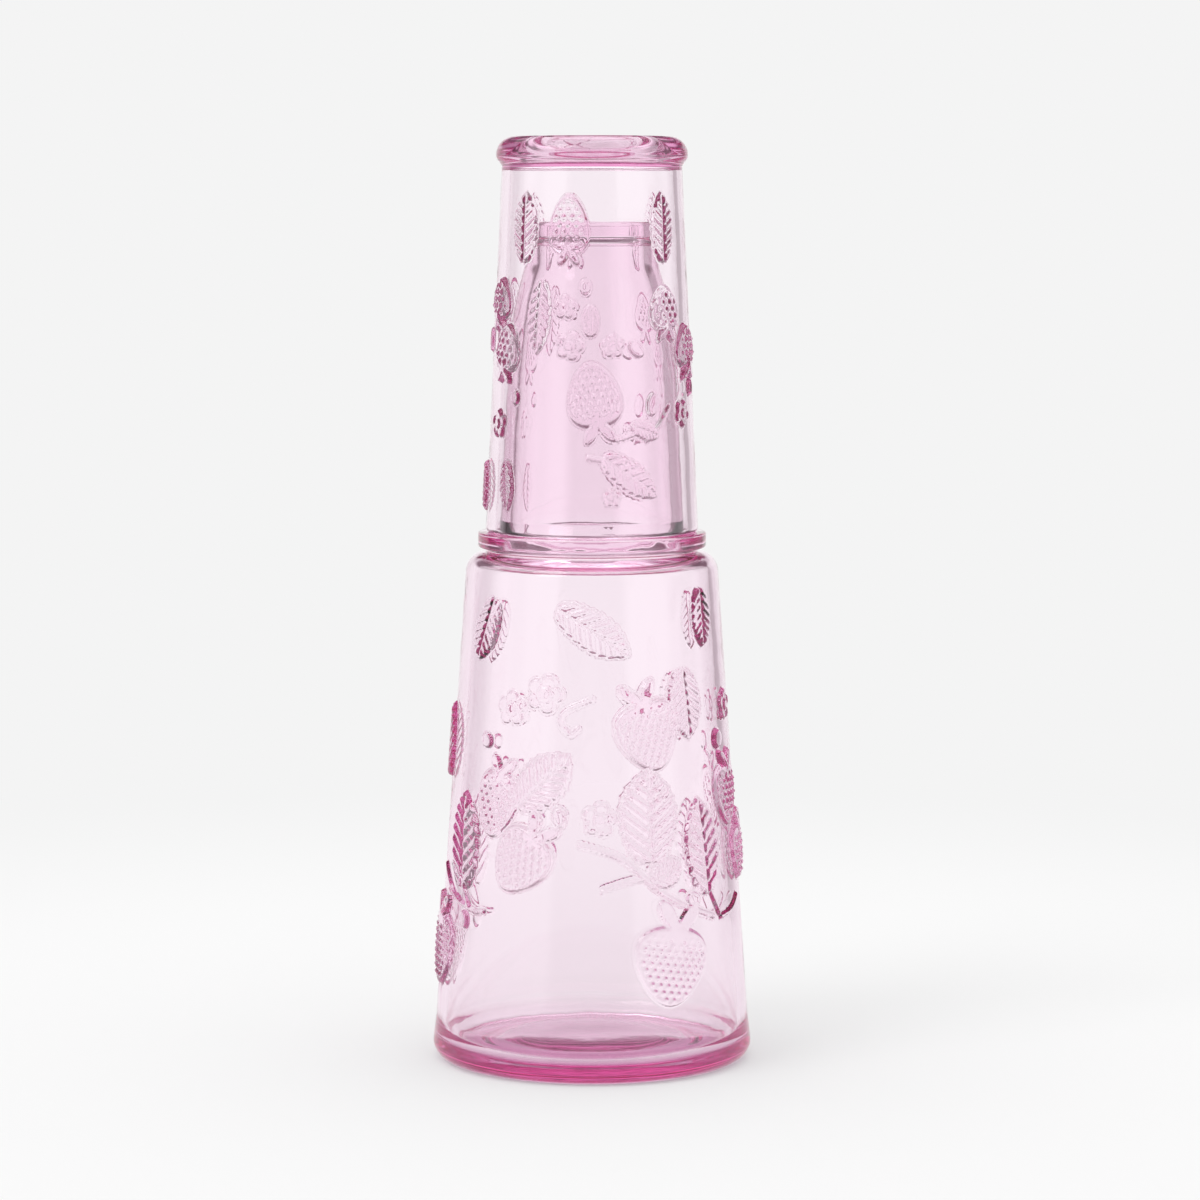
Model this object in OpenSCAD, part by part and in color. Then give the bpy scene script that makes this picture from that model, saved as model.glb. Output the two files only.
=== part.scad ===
// Bedside carafe with its tumbler: a tapered pressed-glass bottle and the glass
// that stands upside down over its neck. Millimetres, +Z up, origin at the middle
// of the ring that the carafe stands on. The front of the pattern faces -Y.

/* [Carafe body] */
// Radius of the heel at its widest
heel_radius = 41.7; // [38:0.1:46]
// Rounding of the heel
heel_round = 4.4; // [3:0.1:6]
// Radius of the straight wall at its lower end
wall_foot_radius = 40.9; // [37:0.1:41.5]
// Height of the lower end of the straight wall
wall_foot_height = 11; // [9:0.5:16]
// Radius of the straight wall where the shoulder begins
shoulder_radius = 32.85; // [31:0.05:35]
// Height where the shoulder begins
shoulder_height = 127.9; // [118:0.1:131]
// Rounding of the shoulder
shoulder_round = 5.2; // [4:0.1:5.6]
// Thickness of the wall of the body
body_wall = 2.7; // [2:0.1:3.2]

/* [Carafe base] */
// Outer radius of the ring that the carafe stands on
bearing_radius = 37.3; // [33:0.1:37.3]
// Width of the ring that the carafe stands on
bearing_width = 8; // [5:0.1:9]
// Rise of the push-up under the base
push_up = 3; // [1:0.1:3.2]
// Height of the inside floor at the wall
floor_height = 4; // [3.8:0.1:6]
// Rise of the inside floor at its middle
floor_rise = 1.8; // [0:0.1:3]
// Rounding between the inside floor and the wall
floor_round = 5; // [3:0.1:8]

/* [Ledge] */
// Radius of the ledge that the tumbler rests on
ledge_radius = 29.65; // [28.5:0.05:31]
// Thickness of the ledge
ledge_thickness = 3.9; // [2.5:0.1:5]
// Height of the waist between the shoulder and the ledge
waist_height = 1.25; // [0.8:0.05:2]
// Radius of the waist
waist_radius = 27.3; // [26.5:0.1:27.6]
// Rounding of the ledge's edges
ledge_round = 0.6; // [0.3:0.05:1]
// Inside radius of the waist and the ledge
ledge_bore = 24; // [22.5:0.1:24.4]
// Thickness of the glass over and under the inside of the ledge
ledge_skin = 2.8; // [2.4:0.1:3.4]

/* [Neck] */
// Height of the neck and lip above the ledge
neck_height = 80.1; // [70:0.1:84]
// Radius of the neck at the ledge
neck_root_radius = 23.9; // [22:0.1:24.1]
// Radius of the neck under the lip
neck_top_radius = 17.1; // [15.5:0.1:18]
// Inside radius of the neck at the ledge
neck_root_bore = 20.8; // [19:0.1:21.6]
// Inside radius of the mouth
mouth_radius = 13.4; // [11:0.1:14]
// Radius of the lip ring
lip_radius = 18.7; // [17.5:0.1:19.2]
// Height of the lip ring
lip_height = 4.4; // [3:0.1:6]
// Straight length of the neck under the lip ring
lip_stand = 6.5; // [3:0.5:9]

/* [Tumbler] */
// Height of the tumbler
tumbler_height = 102.1; // [98:0.1:106]
// Outer radius of the tumbler at its rim
rim_radius = 27.65; // [27.2:0.05:28.4]
// Outer radius of the tumbler's wall at its foot
tumbler_foot_radius = 23.35; // [22.6:0.05:24.2]
// Thickness of the tumbler's wall at the rim
rim_wall = 2.6; // [2.2:0.05:2.7]
// Thickness of the tumbler's wall at the foot
tumbler_wall = 2.3; // [1.8:0.05:2.6]
// Radius of the bead round the foot
bead_radius = 24.75; // [24:0.05:26]
// Rounding of the top of the bead
bead_round = 4.8; // [3:0.1:5.2]
// Thickness of the tumbler's foot
foot_thickness = 7.6; // [7:0.1:9]
// Width of the ring round the hollow in the foot
foot_ring_width = 2.6; // [1.6:0.1:4]
// Depth of the hollow in the foot
foot_hollow = 5; // [2.5:0.1:5.6]
// Rise of the hollow's bottom at its middle
foot_dome = 0.4; // [0:0.1:1.5]
// Rounding between the hollow's bottom and its side
hollow_round = 1.6; // [0.8:0.1:2.2]
// Rounding between the tumbler's floor and wall
tumbler_floor_round = 1.4; // [0.8:0.1:4]

/* [Moulded pattern] */
// How far the berries stand off the wall
berry_rise = 1.6; // [1:0.1:2.4]
// How far the leaves stand off the wall
leaf_rise = 1.2; // [0.8:0.1:1.8]
// How far the blossoms and buds stand off the wall
blossom_rise = 1; // [0.7:0.1:1.6]
// How far the stalks stand off the wall
stalk_rise = 0.7; // [0.5:0.1:1.2]
// Width of a stalk
stalk_width = 1.5; // [1:0.1:2.4]
// Depth that each moulded form runs into the wall
root_depth = 0.9; // [0.6:0.1:1.2]
// Height of the pattern on the tumbler as a share of that on the carafe
tumbler_rise_share = 0.95; // [0.5:0.05:1]
// How much lower the carafe's pattern is at the foot of its back, as a share of its wall's height
carafe_back_low_share = 0.125; // [0:0.005:0.13]
// How much lower the carafe's pattern is at the top of its back, as a share of its wall's height
carafe_back_high_share = 0.06; // [0:0.005:0.1]
// How much lower the tumbler's pattern is at the lower end of its back, as a share of its wall's height
tumbler_back_low_share = 0.05; // [0:0.005:0.06]

/* [Hidden] */

// Derived heights and radii of the carafe
shoulder_top = shoulder_height + shoulder_round * (1 - sin(body_taper()));
ledge_bottom = shoulder_top + waist_height;
ledge_top = ledge_bottom + ledge_thickness;
lip_top = ledge_top + neck_height;
lip_bottom = lip_top - lip_height;
neck_bend_top = lip_bottom - lip_stand;
bearing_bore = bearing_radius - bearing_width;
roof_height = shoulder_top - body_wall;
overall_height = ledge_top + tumbler_height;

// Shares that shape the curves
neck_bend_share = 0.5;
neck_bend_power = 6;
lip_round_share = 0.27;
mouth_round_share = 0.5;
roof_round_share = 0.9;
waist_share = 0.4;
ledge_bore_round_share = 0.6;
rim_round_share = 0.42;
bead_under_share = 0.5;
bead_foot_share = 0.6;
push_up_power = 14;
dome_crowding = 2;
boss_power = 4;

// Angles at which arcs start or end, and points along each curve
flare_angle = 12;
lip_under_angle = 60;
bead_under_angle = 45;
curve_steps = 8;
corner_steps = 4;
neck_steps = 14;
dome_steps = 8;

// Derived heights of the tumbler, which stands on its rim
foot_top = overall_height;
bead_height = foot_top - bead_round;
inner_floor = foot_top - foot_thickness;
rim_round = rim_wall * rim_round_share;

// Each straight wall as [lower height, lower radius, upper height, upper radius]
body_line = [wall_foot_height, wall_foot_radius, shoulder_height, shoulder_radius];
tumbler_line = [ledge_top, rim_radius, bead_height - bead_round, tumbler_foot_radius];

function body_taper() =
    atan((wall_foot_radius - shoulder_radius) / (shoulder_height - wall_foot_height));

// Points of an arc about centre c
function arc(c, r, from, to, steps = curve_steps) =
    [for (i = [0 : steps]) let (a = from + (to - from) * i / steps)
        c + r * [cos(a), sin(a)]];

// A neck curve: an even taper that turns in more and more towards the lip
function neck_point(low, high, low_radius, high_radius, i) =
    let (t = i / neck_steps, turn_in = neck_bend_share * t
        + (1 - neck_bend_share) * pow(t, neck_bend_power))
    [low_radius + (high_radius - low_radius) * turn_in, low + (high - low) * t];

function neck_curve(low, high, low_radius, high_radius) =
    [for (i = [0 : neck_steps]) neck_point(low, high, low_radius, high_radius, i)];

// A dome from the axis out to a radius, the steeper at its edge the higher the power
function dome(middle, edge, radius, power = 2) =
    [for (i = [0 : dome_steps]) let (t = 1 - pow(1 - i / dome_steps, dome_crowding))
        [radius * t, middle + (edge - middle) * pow(t, power)]];

// A low round swelling of the floor that runs out level at its radius
function boss(low, rise, radius) =
    [for (i = [0 : dome_steps]) let (t = i / dome_steps)
        [radius * t, low + rise * pow(1 - pow(t, boss_power), 2)]];

function reversed(list) = [for (i = [len(list) - 1 : -1 : 0]) list[i]];

// Radius of a straight wall at a height
function wall_radius(line, z) =
    line[1] + (line[3] - line[1]) * (z - line[0]) / (line[2] - line[0]);

function wall_taper(line) = atan((line[1] - line[3]) / (line[2] - line[0]));

// Outside of the carafe, from the push-up to the mouth
function carafe_outside() = let (taper = body_taper(), lip_round = lip_height * lip_round_share)
    concat(
        dome(push_up, 0, bearing_bore, push_up_power),
        arc([heel_radius - heel_round, heel_round], heel_round, -90, flare_angle),
        [[wall_foot_radius, wall_foot_height]],
        arc([shoulder_radius - shoulder_round * cos(taper),
            shoulder_height - shoulder_round * sin(taper)], shoulder_round, taper, 90),
        [[waist_radius, shoulder_top + waist_height * waist_share],
            [waist_radius, ledge_bottom]],
        arc([ledge_radius - ledge_round, ledge_bottom + ledge_round], ledge_round, -90, 0, corner_steps),
        arc([ledge_radius - ledge_round, ledge_top - ledge_round], ledge_round, 0, 90, corner_steps),
        arc([neck_root_radius + ledge_round, ledge_top + ledge_round], ledge_round, 270, 180, corner_steps),
        neck_curve(ledge_top + 2 * ledge_round, neck_bend_top, neck_root_radius, neck_top_radius),
        [[neck_top_radius, lip_bottom - lip_round]],
        arc([lip_radius - lip_round, lip_bottom + lip_round], lip_round, -lip_under_angle, 0, corner_steps),
        arc([lip_radius - lip_round, lip_top - lip_round], lip_round, 0, 90, corner_steps),
        arc([mouth_radius + lip_round * mouth_round_share, lip_top - lip_round * mouth_round_share],
            lip_round * mouth_round_share, 90, 180, corner_steps));

// Inside of the carafe, from the floor to the mouth
function carafe_inside() =
    let (taper = body_taper(), roof_round = body_wall * roof_round_share,
        bore_round = body_wall * ledge_bore_round_share,
        low_wall = floor_height + floor_round * (1 - sin(taper)),
        low_radius = wall_radius(body_line, low_wall) - body_wall,
        top_radius = shoulder_radius - body_wall)
    concat(
        boss(floor_height, floor_rise, bearing_bore),
        arc([low_radius - floor_round, floor_height + floor_round], floor_round, -90, -taper),
        arc([top_radius - roof_round, roof_height - roof_round], roof_round, taper, 90, corner_steps),
        arc([ledge_bore + bore_round, roof_height + bore_round], bore_round, 270, 180, corner_steps),
        [[ledge_bore, ledge_top - ledge_skin]],
        neck_curve(ledge_top + ledge_skin, neck_bend_top, neck_root_bore, mouth_radius));

module carafe_glass() {
    rotate_extrude($fn = 120)
        polygon(concat(carafe_outside(), reversed(carafe_inside())));
}

// Outside of the tumbler, from its rim to the hollow in its foot
function tumbler_outside() =
    let (under = bead_round * bead_under_share, low = bead_height - bead_round,
        bead_foot = bead_height - bead_round * bead_foot_share,
        side = bead_radius - bead_round - foot_ring_width, deep = foot_top - foot_hollow)
    concat(
        arc([rim_radius - rim_round, ledge_top + rim_round], rim_round, -90, 0, corner_steps),
        [[tumbler_foot_radius, low], [wall_radius(tumbler_line, bead_foot), bead_foot]],
        arc([bead_radius - under, bead_height], under, -bead_under_angle, 0, corner_steps),
        arc([bead_radius - bead_round, bead_height], bead_round, 0, 90),
        [[side, foot_top]],
        arc([side - hollow_round, deep + hollow_round], hollow_round, 0, -90, corner_steps),
        [[0, deep + foot_dome]]);

// Inside of the tumbler, from its floor to its rim
function tumbler_inside() =
    let (wall_top = inner_floor - tumbler_floor_round,
        top_radius = wall_radius(tumbler_line, wall_top) - tumbler_wall)
    concat(
        [[0, inner_floor]],
        arc([top_radius - tumbler_floor_round, wall_top], tumbler_floor_round, 90, 0),
        arc([rim_radius - rim_wall + rim_round, ledge_top + rim_round], rim_round, 180, 270, corner_steps));

module tumbler_glass() {
    rotate_extrude($fn = 120)
        polygon(concat(tumbler_outside(), tumbler_inside()));
}

// Moulded forms of the front half. Each row is [degrees round from the middle of the
// front, height, length, width, way that the tip points in degrees clockwise from up].
// Heights, lengths and widths are in hundredths of the wall's height.
carafe_leaves = [[-60, 42, 21.5, 12, -3], [-20, 56.5, 16.5, 11, 45], [-87, 62.5, 16.5, 11, 0],
    [-52, 88.5, 14.5, 8.5, 200], [1, 89, 19, 9, 123], [55, 91, 13, 7.5, 178],
    [42, 72.5, 15.5, 10.5, 175], [48, 41.5, 21.5, 11.5, -5], [23, 49, 20.5, 14.5, 0],
    [30, 36.5, 8.5, 7, 60]];
carafe_berries = [[-41, 51, 15.5, 11.5, 190], [-29, 39, 15.5, 13.5, 215], [-77, 16.5, 17, 14.5, 182],
    [24, 66.5, 16, 14.5, 165], [68, 51.5, 14.5, 11, 180], [80, 38, 13, 11, 180],
    [31, 16, 18, 18, 190]];
carafe_blossoms = [[-35, 72, 8, 8, 0], [-20, 75.5, 9, 9, 20], [3, 48.5, 8, 8, 10], [73, 71, 7.5, 7.5, 0]];
carafe_buds = [[-13, 49, 5, 3.5, 170], [-48, 64.5, 4, 3.5, 120], [63, 64, 4.5, 4.5, 180],
    [42, 30, 4.5, 3.5, 100], [-57, 24.5, 4.5, 3.5, 160]];
carafe_stalks = [[[-79, 35], [-67, 29.5], [-53, 27], [-45, 27]], [[-59, 31.5], [-54, 27]],
    [[0, 74.5], [-11, 72], [-13, 69.5], [-9, 67], [-6, 68]],
    [[-5, 43], [11, 40], [25, 33.5], [36, 29.5], [55, 25.5]], [[4, 33], [12, 34.5], [20, 35.5]],
    [[52, 31], [57, 26]], [[58, 25], [67, 26], [74, 28.5]]];

module carafe() {
    color([0.93, 0.62, 0.78]) {
        carafe_glass();
        moulding(body_line, 1, [carafe_back_low_share, carafe_back_high_share], carafe_leaves,
            carafe_berries, carafe_blossoms, carafe_buds, carafe_stalks);
    }
}

tumbler_leaves = [[-44, 85.5, 19.5, 9.5, 0], [47, 85.5, 19.5, 9, 0], [-32, 60.5, 20.5, 8, 184],
    [22, 17, 19.5, 9, 126], [-53, 14, 14, 6.5, 175], [-87, 13, 14, 8.5, 175], [-1, 60, 9, 5.5, 0],
    [31, 29.5, 9.5, 5.5, 110]];
tumbler_berries = [[-14, 86, 17, 11, 0], [-66, 65.5, 12, 11, 0], [-57, 52, 14, 11, 5],
    [47, 63, 12.5, 11, 0], [68, 52.5, 12.5, 11.5, 0], [1, 39.5, 18.5, 15, -8]];
tumbler_blossoms = [[-16, 63.5, 7, 7, 0], [-13, 53, 8.5, 8.5, 15], [12, 53, 7, 7, 0],
    [-64, 31, 8.5, 8.5, 0], [61, 34, 8, 8, 30], [11, 11.5, 5.5, 5.5, 0]];
tumbler_buds = [[-4, 69, 4.5, 3.5, 0], [26, 52, 6, 4, 130], [-48, 38.5, 4.5, 3.5, 0],
    [73, 41, 5, 4, 0], [36, 37, 7.5, 4.5, 15], [-86, 54, 7.5, 5.5, 0]];
tumbler_stalks = [[[31, 27], [40, 31], [48, 36]], [[-2, 22.5], [8, 21.5]], [[4, 31], [12, 27.5], [24, 29]]];

module tumbler() {
    color([0.95, 0.72, 0.84]) {
        tumbler_glass();
        moulding(tumbler_line, tumbler_rise_share, [tumbler_back_low_share, 0], tumbler_leaves,
            tumbler_berries, tumbler_blossoms, tumbler_buds, tumbler_stalks);
    }
}

// A point on a straight wall, s to the right and t up from a place, h off the glass
function on_wall(line, place, s, t, h) =
    let (taper = wall_taper(line), z = place[1] + t * cos(taper),
        r = wall_radius(line, z) + h * cos(taper), a = place[0] + s / wall_radius(line, z) * 180 / PI)
    [r * sin(a), -r * cos(a), z + h * sin(taper)];

// Side and rise of a point u along a form and v to its right, for a form turned round
function turned(uv, turn) =
    [uv[0] * sin(turn) + uv[1] * cos(turn), uv[0] * cos(turn) - uv[1] * sin(turn)];

// A row or a stalk's point in real sizes on its wall
function height_on(line, hundredths) = line[0] + (line[2] - line[0]) * hundredths / 100;
function sized(line, row) = let (unit = (line[2] - line[0]) / 100)
    [row[0], height_on(line, row[1]), unit * row[2], unit * row[3], row[4]];
function sized_path(line, path) = [for (p = path) [p[0], height_on(line, p[1])]];

// The back half mirrors the front, a little lower towards the middle of the back. What
// would run into the side of the front half or off the wall's foot has no twin.
side_limit = 82;
function dropped(line, p, drops) =
    p[1] - (drops[0] * (line[2] - p[1]) + drops[1] * (p[1] - line[0])) * cos(p[0]);
function back_row(line, row, drops) =
    [180 - row[0], dropped(line, row, drops), row[2], row[3], -row[4]];
function back_path(line, path, drops) = [for (p = path) [180 - p[0], dropped(line, p, drops)]];
function has_twin(line, row, drops) =
    abs(row[0]) < side_limit && dropped(line, row, drops) - row[2] / 2 > line[0];

function all_round(line, rows, drops) = let (front = [for (row = rows) sized(line, row)])
    concat(front, [for (row = front) if (has_twin(line, row, drops)) back_row(line, row, drops)]);
function paths_round(line, paths, drops) = let (front = [for (path = paths) sized_path(line, path)])
    concat(front, [for (path = front) back_path(line, path, drops)]);

// Outlines as [u, v], from the tip round to the left
leaf_points = 24;
leaf_tooth_share = 0.14;
leaf_point_power = 1.5;
function leaf_rim(row) =
    [for (i = [0 : leaf_points - 1]) let (q = 360 * i / leaf_points,
        tooth = i % 2 == 1 ? 1 : 1 - leaf_tooth_share, side = pow(abs(sin(q)), leaf_point_power))
        [row[2] / 2 * cos(q), -row[3] / 2 * sign(sin(q)) * side * tooth]];

berry_points = 14;
berry_taper_share = 0.24;
function berry_rim(row) =
    [for (i = [0 : berry_points - 1]) let (q = 360 * i / berry_points)
        [row[2] / 2 * cos(q), -row[3] / 2 * sin(q) * (1 - berry_taper_share * cos(q))]];

// A berry's cap of sepals, a star over its stalk end
sepals = 5;
sepal_notch_share = 0.45;
cap_size_share = 0.78;
cap_place_share = 0.86;
function cap_row(line, row) = let (st = turned([-row[2] / 2 * cap_place_share, 0], row[4]))
    [row[0] + st[0] / wall_radius(line, row[1]) * 180 / PI, row[1] + st[1] * cos(wall_taper(line)),
        row[3] * cap_size_share, row[3] * cap_size_share, row[4]];
function cap_rim(row) =
    [for (i = [0 : 2 * sepals - 1]) let (q = 180 * i / sepals)
        row[2] / 2 * (i % 2 == 0 ? 1 : sepal_notch_share) * [cos(q), -sin(q)]];

petals = 5;
petal_angles = [0, 22, 50];
petal_shares = [0.66, 1, 1];
function blossom_rim(row) =
    [for (p = [0 : petals - 1]) for (k = [0 : 2]) let (q = 360 * p / petals + petal_angles[k])
        row[2] / 2 * petal_shares[k] * [cos(q), -sin(q)]];

bud_points = 8;
function bud_rim(row) =
    [for (i = [0 : bud_points - 1]) let (q = 360 * i / bud_points)
        [row[2] / 2 * cos(q), -row[3] / 2 * sin(q)]];

// Shares of the outline at which each form has a ring of points, from the middle out
leaf_rings = [0.55, 1];
berry_rings = [0.38, 0.72, 1];
cap_rings = [1];
blossom_rings = [0.42, 1];
bud_rings = [0.55, 1];

// Height shares of the rings' points
leaf_rib_share = 1;
leaf_vein_share = 0.85;
leaf_face_share = 0.6;
leaf_edge_share = 0.65;
berry_seed_share = 0.1;
berry_edge_share = 0.4;
cap_tip_share = 0.9;
cap_notch_share = 0.6;
petal_hollow_share = 0.5;
petal_edge_share = 0.85;
bud_edge_share = 0.5;
bud_dome_share = 0.9;

// Heights of each form's rings, from the middle out
function leaf_heights() = [
    [for (i = [0 : leaf_points - 1])
        i % (leaf_points / 2) == 0 ? leaf_rib_share : i % 2 == 0 ? leaf_face_share : leaf_vein_share],
    [for (i = [0 : leaf_points - 1]) leaf_edge_share]];

function berry_height(ring, i) = ring == 1 ? berry_edge_share
    : berry_edge_share + (1 - berry_edge_share) * sqrt(1 - ring * ring) + berry_seed_share * (i % 2);
function berry_heights() = [for (k = [0 : len(berry_rings) - 1])
    [for (i = [0 : berry_points - 1]) berry_height(berry_rings[k], i + k)]];

function cap_heights() = [[for (i = [0 : 2 * sepals - 1]) i % 2 == 0 ? cap_tip_share : cap_notch_share]];

function blossom_heights() = [
    [for (i = [0 : 3 * petals - 1]) petal_hollow_share],
    [for (i = [0 : 3 * petals - 1]) i % 3 == 0 ? petal_hollow_share : petal_edge_share]];

function bud_heights() = [
    [for (i = [0 : bud_points - 1]) bud_dome_share], [for (i = [0 : bud_points - 1]) bud_edge_share]];

// One raised form on a wall, closed by a skirt and a bottom inside the glass
module raised(line, row, rim, rings, heights, rise) {
    n = len(rim);
    k = len(rings);
    top = [for (j = [0 : k - 1]) for (i = [0 : n - 1]) let (st = turned(rim[i] * rings[j], row[4]))
        on_wall(line, row, st[0], st[1], rise * heights[j][i])];
    foot = [for (i = [0 : n - 1]) let (st = turned(rim[i], row[4]))
        on_wall(line, row, st[0], st[1], -root_depth)];
    middle = on_wall(line, row, 0, 0, rise);
    below = on_wall(line, row, 0, 0, -root_depth);
    polyhedron(concat([middle], top, foot, [below]), concat(
        [for (i = [0 : n - 1]) [0, 1 + (i + 1) % n, 1 + i]],
        [for (j = [0 : k - 1]) for (i = [0 : n - 1]) each
            let (a = 1 + j * n + i, b = 1 + j * n + (i + 1) % n) [[a, b, b + n], [a, b + n, a + n]]],
        [for (i = [0 : n - 1]) [(k + 1) * n + 1, k * n + 1 + i, k * n + 1 + (i + 1) % n]]));
}

// A stalk: a ridge along a path of [degrees round, height], thinner at its ends
stalk_end_share = 0.5;
module stalk(line, path, rise) {
    n = len(path);
    taper = wall_taper(line);
    function flat(p) = [(p[0] - path[0][0]) * PI / 180 * wall_radius(line, path[0][1]), p[1] / cos(taper)];
    function way(i) = let (d = flat(path[min(i + 1, n - 1)]) - flat(path[max(i - 1, 0)])) d / norm(d);
    function end_share(i) = i == 0 || i == n - 1 ? stalk_end_share : 1;
    points = [for (i = [0 : n - 1]) let (d = way(i), w = stalk_width / 2 * end_share(i)) each [
        on_wall(line, path[i], -d[1] * w, d[0] * w, -root_depth),
        on_wall(line, path[i], 0, 0, rise * end_share(i)),
        on_wall(line, path[i], d[1] * w, -d[0] * w, -root_depth)]];
    polyhedron(points, concat([[0, 1, 2]],
        [for (i = [0 : n - 2]) for (k = [0 : 2]) each
            let (a = 3 * i + k, b = 3 * i + (k + 1) % 3) [[a, a + 3, b + 3], [a, b + 3, b]]],
        [[3 * n - 1, 3 * n - 2, 3 * n - 3]]));
}

// Every raised form on one wall
module moulding(line, share, drops, leaves, berries, blossoms, buds, stalks) {
    for (row = all_round(line, leaves, drops))
        raised(line, row, leaf_rim(row), leaf_rings, leaf_heights(), leaf_rise * share);
    for (row = all_round(line, berries, drops)) {
        raised(line, row, berry_rim(row), berry_rings, berry_heights(), berry_rise * share);
        cap = cap_row(line, row);
        raised(line, cap, cap_rim(cap), cap_rings, cap_heights(), berry_rise * share);
    }
    for (row = all_round(line, blossoms, drops))
        raised(line, row, blossom_rim(row), blossom_rings, blossom_heights(), blossom_rise * share);
    for (row = all_round(line, buds, drops))
        raised(line, row, bud_rim(row), bud_rings, bud_heights(), blossom_rise * share);
    for (path = paths_round(line, stalks, drops))
        stalk(line, path, stalk_rise * share);
}

carafe();
tumbler();
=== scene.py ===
"""Bedside carafe with its tumbler in pink pressed glass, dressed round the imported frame.

The carafe and the tumbler are each one closed glass shell: a profile turned about the
axis, with the berries, leaves, blossoms and stalks raised on its outer wall by a height
field. Sizes are in millimetres and angles in degrees until a mesh is made. The front of
the pattern faces -Y.
"""

import math

import bpy
import numpy as np
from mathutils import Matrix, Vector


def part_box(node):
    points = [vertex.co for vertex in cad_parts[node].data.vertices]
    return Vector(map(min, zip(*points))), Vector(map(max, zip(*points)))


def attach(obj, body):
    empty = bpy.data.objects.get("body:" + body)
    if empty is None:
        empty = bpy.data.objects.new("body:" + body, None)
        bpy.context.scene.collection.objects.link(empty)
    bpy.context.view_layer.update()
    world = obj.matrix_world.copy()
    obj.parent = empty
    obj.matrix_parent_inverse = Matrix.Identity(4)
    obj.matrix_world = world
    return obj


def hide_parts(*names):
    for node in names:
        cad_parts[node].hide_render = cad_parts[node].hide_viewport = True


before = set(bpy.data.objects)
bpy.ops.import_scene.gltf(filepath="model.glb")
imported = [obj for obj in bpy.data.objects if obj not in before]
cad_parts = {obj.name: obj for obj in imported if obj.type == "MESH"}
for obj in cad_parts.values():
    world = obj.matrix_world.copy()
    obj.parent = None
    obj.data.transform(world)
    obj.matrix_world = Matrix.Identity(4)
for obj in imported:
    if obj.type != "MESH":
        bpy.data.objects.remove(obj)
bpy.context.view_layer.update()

MM = 0.001

# Heights that the frame gives: what the tumbler stands on, its foot, and the carafe's lip
carafe_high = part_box("carafe")[1]
tumbler_low, tumbler_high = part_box("tumbler")
LIP_TOP = carafe_high.z / MM
LEDGE_TOP = tumbler_low.z / MM
FOOT_TOP = tumbler_high.z / MM

# Carafe; pairs in brackets are radius and height
HEEL_RADIUS, HEEL_ROUND, FLARE_ANGLE = 41.7, 4.4, 12
WALL_FOOT, SHOULDER = (40.9, 11.0), (32.85, 127.9)
SHOULDER_ROUND = 5.2
BODY_WALL = 2.7
BEARING_RADIUS, BEARING_WIDTH, PUSH_UP, PUSH_UP_POWER = 37.3, 8.0, 3.0, 14
PUSH_UP_EDGE, BEARING_EDGE, BEARING_ROUND = 0.25, 0.3, 0.05
STIPPLE_PLACE, STIPPLE_WIDTH, STIPPLE_EDGE, STIPPLE_COUNT = 1.2, 1.4, 0.35, 180
FLOOR_HEIGHT, FLOOR_RISE, FLOOR_ROUND, BOSS_POWER = 4.0, 1.8, 5.0, 4
LEDGE_RADIUS, LEDGE_THICKNESS, LEDGE_ROUND = 29.65, 3.9, 0.6
WAIST_RADIUS, WAIST_ROUND_LOW, WAIST_ROUND_HIGH = 27.3, 0.35, 0.3
ROOF_ROUND = 0.9 * BODY_WALL
LEDGE_BORE, LEDGE_BORE_ROUND, LEDGE_SKIN = 24.0, 1.6, 2.8
NECK_ROOT, NECK_TOP, NECK_ROOT_BORE, MOUTH = 23.9, 17.1, 20.8, 13.4
LIP_RADIUS, LIP_HEIGHT, LIP_STAND = 18.7, 4.4, 6.5
LIP_ROUND, LIP_UNDERSIDE = 0.27 * LIP_HEIGHT, -60
NECK_BEND_SHARE, NECK_BEND_POWER, NECK_EASE = 0.5, 6, 3.5

# Tumbler
RIM_RADIUS, TUMBLER_TOP_RADIUS = 27.65, 23.35
RIM_WALL, TUMBLER_WALL, RIM_PLAIN = 2.6, 2.3, 0.3
BEAD_RADIUS, BEAD_ROUND = 24.75, 4.8
BEAD_LOW_ROUND, BEAD_TUCK, BEAD_UNDERSIDE = 0.5 * BEAD_ROUND, 0.6 * BEAD_ROUND, -50
FOOT_THICKNESS, FOOT_RING, TUMBLER_FLOOR_ROUND = 7.6, 2.6, 1.4
FOOT_HOLLOW, FOOT_DOME, HOLLOW_ROUND = 5.0, 0.4, 1.6
FOOT_STIPPLE_PLACE, FOOT_STIPPLE_WIDTH, FOOT_STIPPLE_EDGE, FOOT_STIPPLE_COUNT = 0.4, 1.5, 0.4, 120

# Stippled rings of both
STIPPLE_DEPTH = 0.3

# Mesh: columns round the pattern and round the rest, the pattern's row height, and how many
# rings an eased curve has and the rim's two halves
FINE_COLUMNS, PLAIN_COLUMNS = 720, 360
ROW_HEIGHT = 0.4
EASED_RINGS, HALF_RIM = 121, 8


def arc(cx, cz, radius, start, end, steps):
    """Points (radius, height) of an arc about (cx, cz)."""
    a = np.radians(np.linspace(start, end, steps + 1))
    return [(cx + radius * math.cos(t), cz + radius * math.sin(t)) for t in a]


def neck_curve(low, high, low_radius, high_radius, steps):
    """An even taper that turns in more and more towards the lip."""
    out = []
    for t in np.linspace(0, 1, steps + 1):
        turn_in = NECK_BEND_SHARE * t + (1 - NECK_BEND_SHARE) * t**NECK_BEND_POWER
        out.append((low_radius + (high_radius - low_radius) * turn_in, low + (high - low) * t))
    return out


def dome(middle, edge, radius, steps, power=2):
    """A shallow dome from beside the axis out to a radius."""
    return [(radius * t, middle + (edge - middle) * t**power)
            for t in np.linspace(0, 1, steps + 1)[1:]]


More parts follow.
